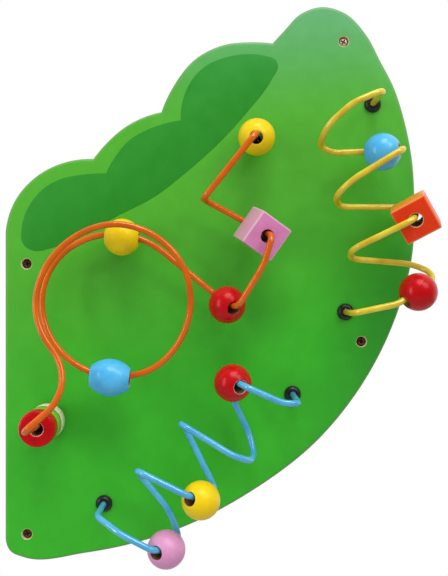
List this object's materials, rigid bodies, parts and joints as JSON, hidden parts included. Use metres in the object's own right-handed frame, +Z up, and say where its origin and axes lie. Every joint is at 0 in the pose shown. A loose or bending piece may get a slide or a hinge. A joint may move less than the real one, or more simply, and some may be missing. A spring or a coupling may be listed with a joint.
{
  "type": "activity wall panel",
  "caption": "Scalloped wooden wall panel with bent wires standing out from its front; wooden balls, cubes, a barrel and discs slide along the wires.",
  "frame": {"origin": "middle of the board's flat back face, which lies against the wall", "axes": "+Z up, +X to the right as seen from the front, +Y into the wall; the front faces -Y"},
  "size_m": [0.3547, 0.0942, 0.4622],
  "materials": {
    "board_paint": "satin painted wood",
    "orange_wire_enamel": "gloss enamel on steel wire",
    "yellow_wire_enamel": "gloss enamel on steel wire",
    "blue_wire_enamel": "gloss enamel on steel wire",
    "black_plastic": "satin",
    "spring_steel": "bright zinc",
    "screw_steel": "bronzed",
    "pink_lacquer": "gloss lacquer",
    "red_lacquer": "gloss lacquer",
    "yellow_lacquer": "gloss lacquer",
    "sky_blue_lacquer": "gloss lacquer",
    "orange_red_lacquer": "gloss lacquer",
    "lime_lacquer": "gloss lacquer",
    "natural_wood": "clear matt lacquer"
  },
  "bodies": {
    "panel": {"board": "board_paint", "wall_screw_1": "screw_steel", "wall_screw_2": "screw_steel", "wall_screw_3": "screw_steel", "wall_screw_4": "screw_steel", "yellow_wire_upper_collar": "black_plastic", "yellow_wire_lower_collar": "black_plastic", "blue_wire_right_collar": "black_plastic", "blue_wire_left_collar": "black_plastic", "orange_wire_upper_collar": "black_plastic", "orange_wire_lower_collar": "black_plastic", "yellow_wire_upper_push_washer": "spring_steel", "yellow_wire_lower_push_washer": "spring_steel", "blue_wire_right_push_washer": "spring_steel", "blue_wire_left_push_washer": "spring_steel", "orange_wire_upper_push_washer": "spring_steel", "orange_wire_lower_push_washer": "spring_steel", "orange_wire": "orange_wire_enamel", "yellow_wire": "yellow_wire_enamel", "blue_wire": "blue_wire_enamel"},
    "blue_wire_pink_ball": {"blue_wire_pink_ball": "pink_lacquer"},
    "blue_wire_red_ball": {"blue_wire_red_ball": "red_lacquer"},
    "blue_wire_yellow_ball": {"blue_wire_yellow_ball": "yellow_lacquer"},
    "orange_wire_pink_cube": {"orange_wire_pink_cube": "pink_lacquer"},
    "orange_wire_red_ball": {"orange_wire_red_ball": "red_lacquer"},
    "orange_wire_yellow_ball": {"orange_wire_yellow_ball": "yellow_lacquer"},
    "yellow_wire_blue_ball": {"yellow_wire_blue_ball": "sky_blue_lacquer"},
    "yellow_wire_orange_cube": {"yellow_wire_orange_cube": "orange_red_lacquer"},
    "yellow_wire_red_ball": {"yellow_wire_red_ball": "red_lacquer"},
    "ring_yellow_ball": {"ring_yellow_ball": "yellow_lacquer"},
    "ring_blue_barrel": {"ring_blue_barrel": "sky_blue_lacquer"},
    "natural_disc": {"natural_disc": "natural_wood"},
    "lime_disc": {"lime_disc": "lime_lacquer"},
    "red_disc": {"red_disc": "red_lacquer"}
  },
  "joints": [
    {"name": "blue_wire_pink_ball_slide", "type": "slide", "parent": "panel", "child": "blue_wire_pink_ball", "axis": [-0.5115, -0.8572, 0.0592], "range_m": [-0.0005, 0.001]},
    {"name": "blue_wire_red_ball_slide", "type": "slide", "parent": "panel", "child": "blue_wire_red_ball", "axis": [0.5131, -0.8553, -0.0722], "range_m": [-0.001, 0.0095]},
    {"name": "blue_wire_yellow_ball_slide", "type": "slide", "parent": "panel", "child": "blue_wire_yellow_ball", "axis": [-0.6632, -0.6255, 0.4109], "range_m": [-0.0005, 0.0025]},
    {"name": "orange_wire_pink_cube_slide", "type": "slide", "parent": "panel", "child": "orange_wire_pink_cube", "axis": [0.2506, -0.9428, -0.2199], "range_m": [-0.0015, 0.0065]},
    {"name": "orange_wire_red_ball_slide", "type": "slide", "parent": "panel", "child": "orange_wire_red_ball", "axis": [0.4636, -0.8859, -0.0183], "range_m": [-0.0005, 0.003]},
    {"name": "orange_wire_yellow_ball_slide", "type": "slide", "parent": "panel", "child": "orange_wire_yellow_ball", "axis": [-0.1016, -0.9921, -0.0736], "range_m": [0, 0.0115]},
    {"name": "yellow_wire_blue_ball_slide", "type": "slide", "parent": "panel", "child": "yellow_wire_blue_ball", "axis": [0.9461, -0.3089, -0.0972], "range_m": [-0.0195, 0]},
    {"name": "yellow_wire_orange_cube_slide", "type": "slide", "parent": "panel", "child": "yellow_wire_orange_cube", "axis": [-0.3068, -0.8945, -0.3253], "range_m": [-0.007, 0.001]},
    {"name": "yellow_wire_red_ball_slide", "type": "slide", "parent": "panel", "child": "yellow_wire_red_ball", "axis": [-0.889, -0.2962, -0.3492], "range_m": [-0.001, 0.013]},
    {"name": "ring_yellow_ball_swing", "type": "hinge", "parent": "panel", "child": "ring_yellow_ball", "pos_m": [-0.07353, 0, -0.01656], "axis": [0, -1, 0], "range_deg": [-35, 1]},
    {"name": "ring_blue_barrel_swing", "type": "hinge", "parent": "panel", "child": "ring_blue_barrel", "pos_m": [-0.07353, 0, -0.01656], "axis": [0, -1, 0], "range_deg": [-42, 35]},
    {"name": "natural_disc_slide", "type": "slide", "parent": "panel", "child": "natural_disc", "axis": [0, -1, 0], "range_m": [0, 0.006]},
    {"name": "lime_disc_slide", "type": "slide", "parent": "natural_disc", "child": "lime_disc", "axis": [0, -1, 0], "range_m": [0, 0.006]},
    {"name": "red_disc_slide", "type": "slide", "parent": "lime_disc", "child": "red_disc", "axis": [0, -1, 0], "range_m": [0, 0.006]}
  ]
}
